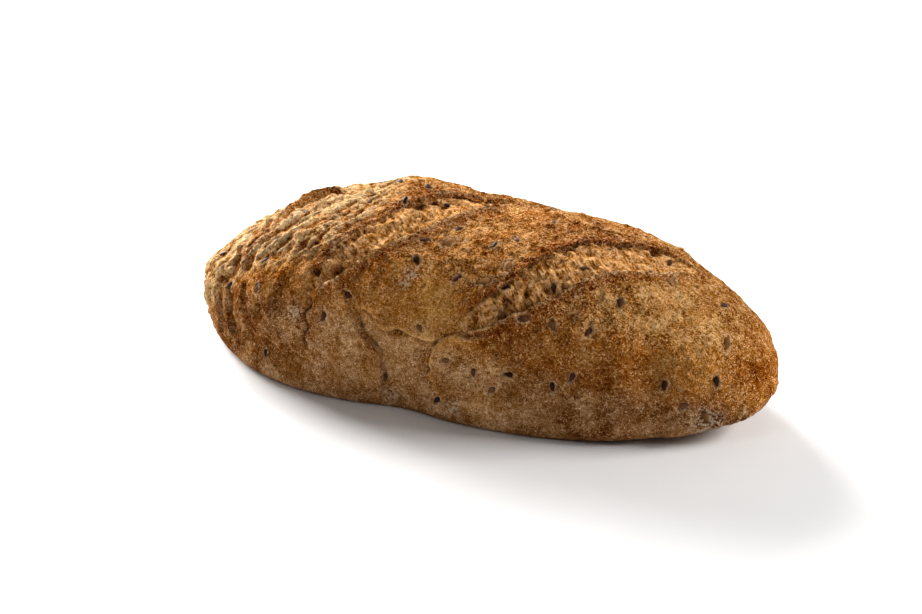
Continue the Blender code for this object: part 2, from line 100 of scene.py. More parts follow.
# Creases: path, depth, width, and how far the side to the left of the path stands above the other
CREASES = [
    ([(-57, -60), (-54, -64), (-57, -69), (-55, -74), (-57, -80), (-54, -87)], 2.6, 1.1, 0.8),
    ([(-34, -64), (-29, -73), (-23, -79), (-21, -88), (-21, -104)], 1.4, 1.0, -1.2),
    ([(-41, -57), (-38, -64), (-35, -69)], 0.4, 1.0, -1.3),
    ([(29, -67), (33, -73), (35, -80), (39, -93)], 0.6, 1.0, -0.9),
    ([(-112, -37), (-104, -38), (-98, -36)], 2.0, 1.5, 1.2),
    ([(-92, -30), (-84, -17), (-76, -6), (-66, 8)], 1.6, 1.3, 0.9),
    ([(-122, -10), (-114, -8), (-108, 2)], 1.5, 1.3, 0.9),
    ([(-106, -30), (-103, -16), (-101, 0)], 1.2, 1.3, 0.9),
    ([(-101, -70), (-104, -54), (-104, -44)], 1.4, 1.6, 1.3),
    ([(-111, -64), (-112, -50), (-110, -40)], 1.4, 1.4, 1.4),
    ([(-93, -62), (-93, -52), (-96, -44)], 0.7, 1.2, 1.0),
    ([(-74, -66), (-73, -58), (-70, -50)], 0.5, 0.9, 0.8),
    ([(-74, -30), (-62, -10), (-52, 12)], 1.1, 1.1, 0.7),
    ([(-84, -40), (-76, -28), (-70, -14)], 1.0, 1.1, 0.8),
    ([(-66, -44), (-58, -28), (-50, -12), (-42, 6)], 0.9, 1.0, -0.6),
    ([(14, 62), (30, 78), (44, 92)], 1.2, 1.4, 0.9),
    ([(-70, 66), (-58, 82), (-52, 98)], 1.4, 1.4, 0.9),
]
STEP_REACH = 5.0
# Edges of crust that stand over the crust below: path, rise of the side to its left, drop of the other side,
# and how far the edge is toasted and carries a painted highlight along its crest
LEDGES = [
    ([(-33, -62), (-27, -64), (-22, -69), (-13, -67), (-6, -69), (2, -69), (8, -67)], 2.4, 1.3, 1.0),
    ([(27, -62), (20, -65), (9, -66), (4, -71), (2, -79), (5, -90), (13, -98)], 1.9, 1.3, 0.8),
    ([(-32, 2), (-26, 3), (-19, 6)], 1.6, 1.2, 1.0),
    ([(-28, 11), (-23, 14), (-17, 18)], 1.6, 0.8, 1.0),
    ([(-18, 19), (-12, 20), (-3, 16)], 1.2, 0.9, 0.5),
    ([(-9, 22), (-2, 22), (7, 26)], 1.2, 0.6, 0.6),
]
LEDGE_REACH = 4.0
# The groove at the foot of an edge: depth, how far out, width
GROOVE = (0.25, 0.9, 0.8)

# Swellings and hollows, and small pits: station, girth, height or depth, radius
LUMPS = [(-42, 26, 3.4, 16), (-90, 18, 1.8, 12), (-68, 20, -2.6, 12), (92, -50, -2.6, 8),
         (103, -50, 1.6, 7), (-3, -84, 1.2, 12), (20, -84, 1.4, 13), (40, 4, 1.0, 14),
         (-25, -52, 1.0, 16), (112, -20, 0.8, 14), (60, 62, 1.6, 26), (-30, 74, 1.8, 28),
         (-90, 60, 1.2, 20), (28, 26, -1.0, 16), (64, 22, 1.2, 14), (-45, -57, 1.6, 2.2)]
PITS = [(-28, -2, 4.0, 3.0), (-25, 4, 3.4, 2.4), (-19, 2, 3.0, 2.2), (-46, -49, 3.4, 2.8),
        (-56, -50, 3.0, 2.0), (-80, -11, 2.4, 2.2), (-68, -36, 1.8, 2.4), (-103, -34, 2.6, 3.6),
        (-96, -38, 1.6, 3.0), (75, 9, 2.4, 1.8), (31, -47, 2.4, 2.2), (38, -42, 2.2, 2.0),
        (46, -13, 2.0, 1.8)]

# The rough crust: (size, height) of each octave, and the blisters
ROUGH = [(26.0, 1.3), (11.0, 0.8), (5.0, 0.45)]
CRUMB_ROUGH = (4.0, 0.9)
WRINKLE = dict(along=20.0, across=5.0, height=1.8, turn=0.90, station=-34.0, girth=-50.0)
BLISTERS = 240
BLISTER_STATIONS = (-122, 124)
BLISTER_GIRTHS = (-95, 95)
BLISTER_RADIUS = (1.8, 4.4)
BLISTER_HEIGHT = (0.3, 1.0)

# Seeds: half length, half width and half thickness
FLAX = (2.1, 1.15, 0.75)
GRAIN = (3.0, 1.6, 1.0)
SEED_SUNK = 0.45
# Where the crust shows seeds: what is spread there, how many, the stations and the girths
SEED_BANDS = [(GRAIN, 3, (-26, 68), (-58, 16)), (GRAIN, 4, (66, 128), (-58, 10)),
              (GRAIN, 4, (-128, 128), (18, 92)), (FLAX, 16, (-26, 68), (-58, 16)),
              (FLAX, 6, (66, 128), (-58, 10)), (FLAX, 10, (-120, -28), (-60, 20)),
              (FLAX, 11, (-110, 95), (-96, -60)), (FLAX, 34, (-128, 128), (18, 92))]
SEED_SPACING = 9.0
SEED_LOWEST = 8.0

# The view: the photograph's angle, worked out from the loaf's outline
PHOTO_WIDTH = 922
FOCAL_PX = 2748.0
SENSOR = 36.0
VIEW_AZIMUTH = 25.4
VIEW_ELEVATION = 25.7
VIEW_ROLL = -1.0
VIEW_DISTANCE = 1.229
VIEW_TARGET = (-0.0325, 0.0435, 0.0)

# The stage, in metres
FLOOR_SIZE = 4.0
FLOOR = (0.86, 0.86, 0.87)
FLOOR_SOFT = (0.84, 0.84, 0.855)
SKY = (1.0, 0.995, 0.985)
SKY_AMBIENT = 0.035
# Soft bright parts of the sky: towards where, how bright, how narrow
SKY_LOBES = [
    ((0.0, 0.60, 0.80), 0.32, 3.0),
    ((0.86, 0.35, 0.35), 0.36, 3.0),
    ((-0.97, 0.15, 0.20), 0.40, 3.0),
]
LIGHT_TARGET = (0.0, 0.0, 0.04)
# Lamps: name, place, size, watts, colour
LIGHTS = [
    ("key", (-1.42, 0.95, 0.56), (1.2, 0.9), 144.0, (1.0, 0.985, 0.96)),
    ("right_light", (1.2, 0.45, 0.75), (0.6, 0.5), 25.0, (1.0, 0.98, 0.95)),
    ("front_light", (-0.4, -1.0, 1.2), (0.5, 0.5), 2.5, (1.0, 0.98, 0.95)),
]

# Colours, linear
GOLD = (0.58, 0.274, 0.074)
GOLD_DEEP = (0.37, 0.138, 0.023)
AMBER = (0.37, 0.134, 0.020)
SIDE = (0.47, 0.238, 0.096)
SIDE_DEEP = (0.34, 0.145, 0.040)
TORN = (0.95, 0.61, 0.28)
# The torn crust's deeper colour, which also paints the shade in the dips of its folds
TORN_DEEP_AND_SHADED = (0.57, 0.225, 0.045)
CRUMB = (0.78, 0.39, 0.13)
CRUMB_GOLD = (0.52, 0.21, 0.043)
RIM_RED = (0.27, 0.078, 0.009)
# The painted highlight on the rims of lips and the crests of edges
RIM_HIGHLIGHT = (0.80, 0.46, 0.19)
RIM_ORANGE = (0.60, 0.24, 0.045)
# Dark bran specks, and the painted shade in hollows
BRAN_AND_HOLLOW_SHADE = (0.040, 0.013, 0.003)
PALE = (0.86, 0.62, 0.36)
FLOUR = (0.76, 0.62, 0.46)
# The display's gamma, the darkest display value, and the most red that a colour keeps
DISPLAY = 2.2
LEAST = 0.02
MOST_RED = 0.97

# The node that a material ends in
SURFACE = "Principled BSDF"

# The seeds: dark and light colour, roughness
SEED_FINISHES = {
    "flax_seeds": ((0.06, 0.022, 0.011), (0.17, 0.075, 0.034), 0.5),
    "dark_flax_seeds": ((0.022, 0.009, 0.006), (0.06, 0.024, 0.017), 0.5),
    "grains": ((0.12, 0.050, 0.014), (0.28, 0.125, 0.040), 0.55),
}
# Mottling within a seed: size, weight and span; its streaks: size, bump and strength
SEED_TONE = (1.3, 0.5)
SEED_TONE_SPAN = (0.3, 1.1)
SEED_STREAK = (0.5, 0.12, 0.5)
SEED_SHINE = 0.04
# The share of flax that is dark; the mesh of a seed, and how it tapers
DARK_SHARE = 0.35
SEED_SEGMENTS = (14, 9)
SEED_TAPER = (0.28, 0.18)

# Patterns of the crust: size in mm, detail, roughness
BROAD = (30, 2, 0.5)
PATCH = (9, 3, 0.6)
MOTTLE = (3.4, 4, 0.65)
GRAINY = (1.2, 3, 0.65)
FINE = (0.5, 2, 0.6)
WOOLLY = (1.9, 4, 0.7)
GLAZE = (8, 3, 0.6)
# The clusters of the painted glints
GLINT_CLUSTERS = (2.2, 2, 0.5)
PEBBLES = 1.9
# Patterns that follow the slashes: unit size, detail, roughness; the turn of the slashes, and the stretch
STRANDS = (1.0, 4, 0.65)
FOLDS = (1.0, 3, 0.6)
STRAND_TWIST = 0.7
SLASH_TURN = 0.83
STREAK_SCALE = (0.80, 0.2, 0.0)
FOLD_SCALE = (0.16, 0.5, 0.0)
# Round spots: cell size, reach of a spot, size of the clusters, and their span
# The pores are painted shade of tiny pits; bubbles, specks and bran are the crust's own spots
PORE_SHADE_SPOTS = (0.9, (0.12, 0.3), 3.0, (0.44, 0.58))
BUBBLES = (7, (0.2, 0.3), 14, (0.46, 0.58))
SPECKS = (1.4, (0.16, 0.3), 4, (0.46, 0.58))
BRAN = (2.4, (0.1, 0.2), 6, (0.48, 0.58))

# Spans over which a pattern turns from nothing to full; two more numbers give the least and the most
FULL = (0.0, 1.0)
PATCH_SPAN = (0.36, 0.64)
STREAK_SPAN = (0.42, 0.54)
GLAZE_SPAN = (0.46, 0.60)
AMBER_SPAN = (0.44, 0.68, 0.0, 0.85)
FOLD_SPAN = (0.36, 0.62)
FOLD_PATCHES = (0.38, 0.58, 0.5, 1.0)
CRUMB_SPAN = (0.38, 0.62)
TOAST_SPAN = (0.15, 0.55)
TOAST_PATCHES = (0.3, 0.55, 0.4, 1.0)
LIT_PATCHES = (0.35, 0.55, 0.4, 1.0)
# The painted glints: their span in the fine pattern, and in their clusters
GLINT_SPAN = (0.56, 0.64)
GLINT_PATCHES = (0.44, 0.58)
HOLLOW_SHADE_SPAN = (0.15, 1.0, 0.0, 0.85)
RIM_GRAIN = (0.42, 0.56, 0.1, 0.75)
FLOUR_SPAN = (0.1, 0.9)
FLOUR_GRAIN = (0.47, 0.57)

# How much of one layer goes into another
BELT_GLAZE = 0.10
BELT_AMBER = 0.16
BELT_SMOOTH = -0.7
SMOOTHED = 0.7
COARSE_RANGE = (0.4, 1.0)
SANDY_RANGE = (0.72, 1.3)
GLAZED_BEADS = 0.9
MOTTLE_LUMPS = 1.6
LUMP_LEVEL = 0.38
BAKE_RAGGED = 1.1
# How much the ridges add painted light and shade to the torn folds and the crumb
PAINTED_RIDGE_IN_FOLDS = 0.40
PAINTED_RIDGE_IN_CRUMB = -0.08
GLAZE_SHARE = 0.5
TOAST_SHARE = 0.9
SPECK_SHARE = 0.4
BRAN_SHARE = 0.75
FLOUR_SHARE = 0.6
# How much each layer lightens the colour, as the eye sees it: on lumps, beading, strands, folds and ridges
# it is painted light on raised parts and painted shade in low parts, the glints are painted highlights, the
# pores painted shade of tiny pits, and bubbles and unevenness the crust's own tone; then the unevenness of
# the closed crust
PAINTED_LIGHT_AND_TONE = dict(lumps=0.42, beading=1.0, strand_light_and_shade=2.1, fold_light_and_shade=0.3, ridges=0.07, painted_glints=0.3, pore_shade=-0.16,
              bubbles=0.07, uneven=1.0)
UNEVEN_PATCH = 0.4
UNEVEN_BROAD = 0.25
UNEVEN_LEVEL = 0.34
# Bumps in mm, and roughness
LUMP_BUMP = 1.5
OPEN_BUMP = 2.2
BEAD_BUMP = 1.3
TORN_BUMP = 0.7
GLAZE_ROUGH = (0.65, 0.45)
SIDE_ROUGH = 0.22
OPEN_ROUGH = 0.15
FLOOR_PATTERN = (60, 2)
FLOOR_SPAN = (0.3, 0.7)
FLOOR_ROUGH = 0.6

# Places that are paler (below nought) or browner, partly baked tone and partly painted light and shade, such
# as the painted contact shadow at the foot of the right end: station, girth, radius in mm, and how much
BROWNED_AND_PAINTED_LIGHT = [(0, -57, 18, -0.45), (-22, -86, 18, -0.42), (96, -22, 28, -0.34), (28, -95, 12, -0.35),
           (-106, -64, 17, 0.45), (-80, -64, 17, 0.35), (66, -80, 24, 0.24), (45, 5, 20, 0.30),
           (-40, 5, 18, 0.18), (38, -63, 9, 0.30), (127, -10, 14, 0.25), (116, -50, 12, 0.40),
           (84, -56, 12, 0.30), (104, -50, 12, 0.20), (109, -39, 5, -0.25), (-104, -22, 14, -0.40),
           (-54, -30, 9, 0.18), (-92, 2, 26, -0.32)]
# The back is painted darker and browner, as shade against the key light from behind: girths where that
# starts and is full, on closed crust, and more where it is torn
BACK_PAINTED_SHADE = (22.0, 62.0, 0.50, 0.30)
BROWNED_AND_LIGHT_UNEVEN = (8, 0.7)
BROWNED_AND_LIGHT_GAMMA = 0.4
BROWNED_AND_LIGHT_DARKENING = -0.8
# The golden top: its lower edge at each station, how the edge fades, and the share lost where torn
BAKE_LINE = np.array([34.0, 40.0, 42.0, 38.0, 32.0, 24.0, 16.0])
BAKE_FADE = (-13, 8)
BAKE_TORN = 0.5
# A smooth belt along that edge: how it starts and ends above it
BELT_START = (-6, 4)
BELT_END = (14, 30)
# Flour: spots as station, girth, radius; and at the foot, where the height and the stations bound it
FLOUR_SPOTS = [(-13, -44, 4.0), (-14, -48, 3.0), (-64, -40, 3.0), (-62, -68, 4.0), (-18, -99, 4.0),
               (114, -54, 8.0), (12, -97, 4.0)]
FOOT_FLOUR = dict(most=0.45, top=12, fade=10, least=0.15, stations=(60, 110))

# Relief that only the fine mesh carries: size and height in mm, with the draw of each noise
SMALL_ROUGH = [(3.2, 0.42, 30), (2.0, 0.26, 31)]
SMALL_LEDGE = 0.8
STRAND_SIZE = (1.7, 6.0, 30.0)
STRAND_HEIGHT = 0.7
COMBED = (9, -0.25, 0.2)
WOOL_SIZE = 2.4
CRUMB_LUMPS = (5.5, 0.8)
CRINKLE_SIZE = (7.0, 2.4, 30.0)
CRINKLE_HEIGHT = 0.65
CRINKLE_GRAIN = (1.9, 0.45)
# Rims and dips round the seeds: reach in mm; distance in seed sizes, and width; height; unevenness
SEED_REACH = 8
RIM_RING = (1.45, 0.3)
DIP_RING = (1.0, 0.3)
RIM_SIDES = (0.6, 0.4)
RIM_HEIGHT = 0.6
RIM_UNEVEN = (1.6, 0.8)
DIP_DEPTH = 0.5
# Painted shade in hollows and painted light and shade on ridges, both from the relief: rounds of blurring,
# and the depth that counts as full
HOLLOW_SHADE_ROUNDS = 20
PAINTED_RIDGE_ROUNDS = 140
FULL_DEPTH = 1.5
HOLLOW_SHADE_BASE = (1.0, 4.0)


def smooth_curve(xs, ys, x):
    """A cubic through the points (xs, ys), read at x."""
    slope = np.gradient(ys, xs)
    i = np.clip(np.searchsorted(xs, x) - 1, 0, len(xs) - 2)
    h = xs[i + 1] - xs[i]
    f = (x - xs[i]) / h
    rise = ys[i + 1] - ys[i]
    bend = f * (1 - f) * ((1 - f) * (slope[i] * h - rise) - f * (slope[i + 1] * h - rise))
    return ys[i] + rise * f + bend


def closing(t, ends):
    """How the form closes towards its two ends: one in the middle, nothing at the tips."""
    n = np.where(t < 0, ends[0], ends[1])
    return np.maximum(1 - np.abs(t) ** n, 0) ** (1 / n)


def half_section(t, side=1.0, count=220):
    """Half of the section at t (-1 to 1), from crest to middle of the base; side is -1 at the front."""
    quarter = np.linspace(0, np.pi / 2, count)
    out = np.sin(quarter) ** SHOULDER
    top = np.cos(quarter) ** CROWN
    under = np.sin(quarter)
    turn = (1 - under ** (2 / HEEL)) ** (SHOULDER / 2)
    width = smooth_curve(STATIONS, HALF_WIDTH, t) * closing(t, WIDTH_ENDS)
    if side < 0:
        for at, share, reach in FRONT_DENTS:
            width *= 1 - share * np.exp(-((HALF_LENGTH * t - at) / reach) ** 2)
    rise = (smooth_curve(STATIONS, CREST, t) - WAIST) * closing(t, CREST_ENDS)
    drop = BELLY * closing(t, BELLY_ENDS)
    y = width * np.concatenate([out, turn[1:]])
    z = np.concatenate([WAIST + rise * top, WAIST - drop * under[1:]])
    return y, np.maximum(z, 0.0)


def lengths(y, z, base_share=1.0):
    """Running length of a half section; its flat base can count for less."""
    step = np.hypot(np.diff(y), np.diff(z))
    flat = (z[1:] < 0.01) & (z[:-1] < 0.01)
    return np.concatenate([[0], np.cumsum(step * np.where(flat, base_share, 1.0))])


def ring(t, count):
    """One closed ring of points, as (x, y, z, station, girth) rows."""
    share = np.arange(count) / count
    side = np.where(share <= 0.5, 1.0, -1.0)
    middle = smooth_curve(STATIONS, MIDDLE, t)
    rows = np.empty((count, 5))
    rows[:, 0] = rows[:, 3] = HALF_LENGTH * t
    for sign in (1.0, -1.0):
        y, z = half_section(t, sign)
        spread = lengths(y, z, BASE_SPREAD)
        here = side == sign
        along = np.where(share <= 0.5, share, 1 - share)[here] * 2 * spread[-1]
        rows[here, 1] = middle + sign * np.interp(along, spread, y)
        rows[here, 2] = np.interp(along, spread, z)
        rows[here, 4] = sign * np.interp(along, spread, lengths(y, z))
    return rows


def stations_along():
    """Where the rings stand, evenly spaced over the crust from tip to tip."""
    t = -np.cos(np.linspace(0, np.pi, 1501))
    size = np.array([lengths(*half_section(v))[-1] for v in t]) / np.pi
    run = np.concatenate([[0], np.cumsum(np.hypot(np.diff(t) * HALF_LENGTH, np.diff(size)))])
    cap = RING_POINTS // 8
    count = max(int(run[-1] / RING_STEP), 2 * cap + 2)
    return np.interp(np.linspace(0, run[-1], count + 1), run, t), cap


def form():
    """The plain loaf: points and quads, with square-ringed caps at both tips."""
    stops, cap = stations_along()
    last = len(stops) - 1
    sizes = [8 * min(k, last - k, cap) or 1 for k in range(last + 1)]
    starts = np.concatenate([[0], np.cumsum(sizes)])
    rows = [ring(t, n) for t, n in zip(stops, sizes)]
    quads = []
    for k in range(last):
        a, b, na, nb = starts[k], starts[k + 1], sizes[k], sizes[k + 1]
        if na == nb:
            i = np.arange(na)
            j = (i + 1) % na
            quads.append(np.stack([a + i, a + j, b + j, b + i], 1))
            continue
        grow = nb > na
        big, small, nbig, nsmall = (b, a, nb, na) if grow else (a, b, na, nb)
        side = nbig // 4
        inner = side - 2
        for s in range(4):
            for m in range(side):
                p = s * side + m
                corner = small + ((s * inner) % nsmall if nsmall > 1 else 0)
                if m == 0:
                    face = [big + (p - 1) % nbig, big + p, big + (p + 1) % nbig, corner]
                elif m <= side - 2:
                    first = small + (s * inner + m - 1) % nsmall
                    second = small + (s * inner + m) % nsmall
                    face = [big + p, big + (p + 1) % nbig, second, first]
                else:
                    continue
                quads.append(np.array([face if not grow else face[::-1]]))
    return np.concatenate(rows), np.concatenate(quads)


def vertex_normals(points, quads):
    """Outward normals of the points, from the quads round them."""
    face = np.cross(points[quads[:, 2]] - points[quads[:, 0]], points[quads[:, 3]] - points[quads[:, 1]])
    total = np.zeros_like(points)
    for c in range(4):
        np.add.at(total, quads[:, c], face)
    return total / np.maximum(np.linalg.norm(total, axis=1, keepdims=True), 1e-9)


def rounded_path(points, ragged=0.0, step=0.25):
    """A smooth path through (station, girth) points, at close steps; it can be ragged, as a tear is."""
    p = np.array(points, float)
    run = np.concatenate([[0], np.cumsum(np.hypot(*np.diff(p, axis=0).T))])
    at = np.linspace(0, run[-1], int(run[-1] / step) + 2)
    path = np.stack([smooth_curve(run, p[:, 0], at), smooth_curve(run, p[:, 1], at)], 1)
    if ragged:
        across = np.gradient(path, axis=0)[:, ::-1] * (1, -1)
        across /= np.linalg.norm(across, axis=1, keepdims=True)
        where = np.stack([at, np.full_like(at, p[1, 0]), np.zeros_like(at)], 1)
        swing = noise(where / 6.0, 20) + 0.5 * noise(where / 2.6, 21)
        swing *= np.sqrt(np.abs(np.sin(np.pi * at / run[-1])))
        path += ragged * across * swing[:, None]
    return path


def on_form(places):
    """The places (station, girth) as points of the plain form."""
    out = []
    for station, girth in places:
        t = np.clip(station / HALF_LENGTH, -0.999, 0.999)
        side = 1.0 if girth >= 0 else -1.0
        y, z = half_section(t, side)
        run = lengths(y, z)
        out.append((station, smooth_curve(STATIONS, MIDDLE, t) + side * np.interp(abs(girth), run, y),
                    np.interp(abs(girth), run, z)))
    return np.array(out)


def near_path(points, normals, path, reach):
    """For points within reach of a path: index, distance, signed side, share along it, nearest, left."""
    line = on_form(path[::2])
    tangent = np.gradient(line, axis=0)
    tangent /= np.linalg.norm(tangent, axis=1, keepdims=True)
    low, high = line.min(0) - reach, line.max(0) + reach
    index = np.nonzero(np.all((points > low) & (points < high), axis=1))[0]
    best = np.empty(len(index), int)
    for start in range(0, len(index), 4000):
        some = index[start:start + 4000]
        gap = points[some][:, None, :] - line[None, :, :]
        best[start:start + 4000] = np.argmin(np.einsum("ijk,ijk->ij", gap, gap), axis=1)
    gap = points[index] - line[best]
    distance = np.linalg.norm(gap, axis=1)
    left = np.cross(normals[index], tangent[best])
    side = np.einsum("ij,ij->i", gap, left)
    keep = distance < reach
    best = best[keep]
    return index[keep], distance[keep], side[keep], best / (len(line) - 1), line[best], left[keep]


def inside(places, edge):
    """Which (station, girth) places lie inside the closed edge."""
    x, y = places[:, 0], places[:, 1]
    found = np.zeros(len(places), bool)
    for (x0, y0), (x1, y1) in zip(edge, np.roll(edge, -1, axis=0)):
        if y0 == y1:
            continue
        crosses = ((y0 > y) != (y1 > y)) & (x < (x1 - x0) * (y - y0) / (y1 - y0) + x0)
        found ^= crosses
    return found


def ease(x, low, high):
    """Nothing below low, one above high, smooth between."""
    f = np.clip((x - low) / (high - low), 0, 1)
    return f * f * (3 - 2 * f)


def noise(points, seed=0):
    """Smooth gradient noise, about -1 to 1, one lattice cell to a unit."""
    draw = np.random.default_rng(SEED + seed)
    gradients = draw.normal(size=(256, 3))
    gradients /= np.linalg.norm(gradients, axis=1, keepdims=True)
    order = draw.permutation(256)
    cell = np.floor(points).astype(int)
    f = points - cell
    w = f * f * f * (f * (f * 6 - 15) + 10)
    total = np.zeros(len(points))
    for corner in range(8):
        step = np.array([corner & 1, (corner >> 1) & 1, corner >> 2])
        c = (cell + step) & 255
        g = gradients[order[(order[(order[c[:, 0]] + c[:, 1]) & 255] + c[:, 2]) & 255]]
        share = np.prod(np.where(step == 1, w, 1 - w), axis=1)
        total += share * np.einsum("ij,ij->i", g, f - step)
    return total * 1.6


def slash(state, front, back, sizes):
    """Opens one slash: lips that stand up and lean over a gap, with sunken crumb between."""
    points, normals, places = state["points"], state["normals"], state["places"]
    front_path, back_path = rounded_path(front, RAGGED), rounded_path(back, RAGGED)
    within = inside(places, np.concatenate([front_path, back_path[::-1]]))
    snap = RING_STEP * 0.5
    depth = np.zeros(len(points))
    edge = np.full(len(points), 99.0)
    for path, sign, lip_sizes in ((front_path, -1, sizes["front"]), (back_path, 1, sizes["back"])):
        lip, gape, gap, start, stop = lip_sizes
        index, distance, _, share, place, left = near_path(points, normals, path, 30.0)
        ends = ease(share, 0.0, 0.12) * ease(1 - share, 0.0, 0.16)
        held = (distance < snap) & (share > 0) & (share < 1)
        within[index[held]] = False
        wall = sizes["flap"] * (sign > 0) * ends * (within[index] | held) * (1 - ease(distance, 1.5, 3.5))
        state["ledge"][index] = np.maximum(state["ledge"][index], wall)
        crumb = within[index]
        state["shift"][index[held]] += place[held] - points[index[held]]
        gaping = ease(share, start - 0.06, start + 0.06) * ease(stop + 0.06 - share, 0, 0.12)
        lift = lip * ends * (0.5 + 0.5 * gaping) * np.exp(-distance / LIP_REACH)
        # The thin rim of a front lip, raised and carrying a painted highlight
        rim = (1 - sizes["flap"]) * ends * np.exp(-(distance / RIM_WIDTH) ** 2)
        rim = np.where(crumb | (sign > 0), 0, rim)
        state["rim_line"][index] = np.maximum(state["rim_line"][index], rim)
        state["height"][index] += np.where(crumb, 0, lift + RIM_RISE * rim)
        open_by = gap + (gape - gap) * gaping
        depth[index] += np.where(crumb, open_by * ends * np.exp(-distance / GAP_REACH), 0)
        lean = LIP_LEAN * ends * np.exp(-distance / 1.2)
        state["shift"][index] -= np.where(crumb, -0.6 * sign * lean, sign * lean)[:, None] * left
        toasted = np.where(crumb, 0, ends * np.exp(-distance / 4.0))
        state["lip"][index] = np.maximum(state["lip"][index], toasted)
        edge[index] = np.minimum(edge[index], distance)
    state["height"] -= np.where(within, depth + sizes["sunk"], 0)
    state["crumb"] = np.maximum(state["crumb"], within * ease(edge, 0.3, 1.6) * (1 - 0.8 * sizes["flap"]))


def relief(points, quads, places):
    """The crust's relief: height along the normal and shift along the crust, for every point."""
    normals = vertex_normals(points, quads)
    n = len(points)
    state = dict(points=points, normals=normals, places=places, height=np.zeros(n), shift=np.zeros((n, 3)),
                 lip=np.zeros(n), crumb=np.zeros(n), ledge=np.zeros(n), rim_line=np.zeros(n))
    slash(state, RIGHT_FRONT_LIP, RIGHT_BACK_LIP, RIGHT_SLASH)
    slash(state, MIDDLE_FRONT_LIP, MIDDLE_BACK_LIP, MIDDLE_SLASH)
    slash(state, LEFT_FRONT_LIP, LEFT_BACK_LIP, LEFT_SLASH)
    height, crumb = state["height"], state["crumb"]
    for path, depth, width, step in CREASES:
        index, distance, side, share, _, _ = near_path(points, normals, rounded_path(path, RAGGED), 14.0)
        ends = ease(share, 0.0, 0.12) * ease(1 - share, 0.0, 0.25)
        ends *= np.where((share > 0) & (share < 1), 1.0, 0.0)
        height[index] -= ends * depth * np.exp(-(distance / width) ** 2)
        height[index] += ends * step * np.tanh(side / 0.8) * np.exp(-distance / STEP_REACH)
    for path, rise, drop, toasted in LEDGES:
        index, distance, side, share, _, _ = near_path(points, normals, rounded_path(path, 0.4), 16.0)
        ends = ease(share, 0.0, 0.1) * ease(1 - share, 0.0, 0.2)
        step = np.where(side > 0, rise, drop) * np.tanh(side / 0.5)
        height[index] += ends * step * np.exp(-distance / LEDGE_REACH)
        groove = ((side + GROOVE[1]) / GROOVE[2]) ** 2 + (distance - np.abs(side)) ** 2
        height[index] -= GROOVE[0] * ends * np.exp(-groove)
        edge = ends * toasted * (side > -0.3) * np.exp(-distance / 1.6)
        state["ledge"][index] = np.maximum(state["ledge"][index], edge)
        # A painted highlight along the edge's crest
        crest = 0.7 * ends * toasted * (side > -0.2) * np.exp(-(distance / 0.9) ** 2)
        state["rim_line"][index] = np.maximum(state["rim_line"][index], crest)
    for station, girth, rise, radius in LUMPS:
        centre = on_form([(station, girth)])[0]
        height += rise * np.exp(-(np.linalg.norm(points - centre, axis=1) / radius) ** 2)
    for station, girth, depth, radius in PITS:
        centre = on_form([(station, girth)])[0]
        height -= depth * np.exp(-(np.linalg.norm(points - centre, axis=1) / radius) ** 4)
    for k, (size, rise) in enumerate(ROUGH):
        height += rise * noise(points / size, k)
    height += CRUMB_ROUGH[1] * crumb * noise(points / CRUMB_ROUGH[0], 7)
    torn = ease(-places[:, 0], -WRINKLE["station"], 20 - WRINKLE["station"])
    torn *= ease(places[:, 1], WRINKLE["girth"], WRINKLE["girth"] + 14) * ease(60 - places[:, 1], 0, 30)
    c, s = np.cos(WRINKLE["turn"]), np.sin(WRINKLE["turn"])
    folds = np.stack([(places[:, 0] * c + places[:, 1] * s) / WRINKLE["along"],
                      (places[:, 1] * c - places[:, 0] * s) / WRINKLE["across"], points[:, 2] / 30], 1)
    height += WRINKLE["height"] * torn * (0.5 - np.abs(noise(folds, 9)) * 1.6)
    draw = np.random.default_rng(SEED + 50)
    for _ in range(BLISTERS):
        centre = on_form([(draw.uniform(*BLISTER_STATIONS), draw.uniform(*BLISTER_GIRTHS))])[0]
        radius, rise = draw.uniform(*BLISTER_RADIUS), draw.uniform(*BLISTER_HEIGHT)
        distance = np.linalg.norm(points - centre, axis=1) / radius
        height += rise * (1 - ease(distance, 0.3, 1.0)) * (1 - crumb)
    above = ease(points[:, 2], *BASE_BAND)
    state["torn"] = torn
    moved = points + above[:, None] * (state["shift"] + height[:, None] * normals)
    moved[:, 2] = np.maximum(moved[:, 2], 0.0)
    return moved, state


def seed_places():
    """Places for the seeds: in each band a spread of draws that keep apart."""
    draw = np.random.default_rng(SEED + 90)
    where = np.empty((0, 3))
    sizes = []
    for size, count, stations, girths in SEED_BANDS:
        wanted = len(sizes) + count
        while len(sizes) < wanted:
            centre = on_form([(draw.uniform(*stations), draw.uniform(*girths))])
            apart = np.linalg.norm(where - centre, axis=1).min(initial=SEED_SPACING)
            if centre[0, 2] < SEED_LOWEST or apart < SEED_SPACING:
                continue
            where = np.concatenate([where, centre])
            sizes.append(size)
    turns = draw.uniform(0, np.pi, len(sizes))
    return list(zip(where, sizes, turns))


def seed_axes(centre, turn, plain, normals):
    """The axes of a seed that lies flat at its place: up, along and across."""
    nearest = np.argsort(np.linalg.norm(plain - centre, axis=1))[:7]
    up = normals[nearest].sum(0)
    up /= np.linalg.norm(up)
    run = np.cross(up, (0.0, 1.0, 0.3))
    run /= np.linalg.norm(run)
    run = np.cos(turn) * run + np.sin(turn) * np.cross(up, run)
    return up, run, np.cross(up, run)


def lay_seed(centre, size, turn, plain, points, normals):
    """Where one seed lies on the crust: its middle and its three axes."""
    up, run, wide = seed_axes(centre, turn, plain, normals)
    nearest = np.argmin(np.linalg.norm(plain - centre, axis=1))
    return points[nearest] - up * SEED_SUNK * size[2], (run, wide, up)


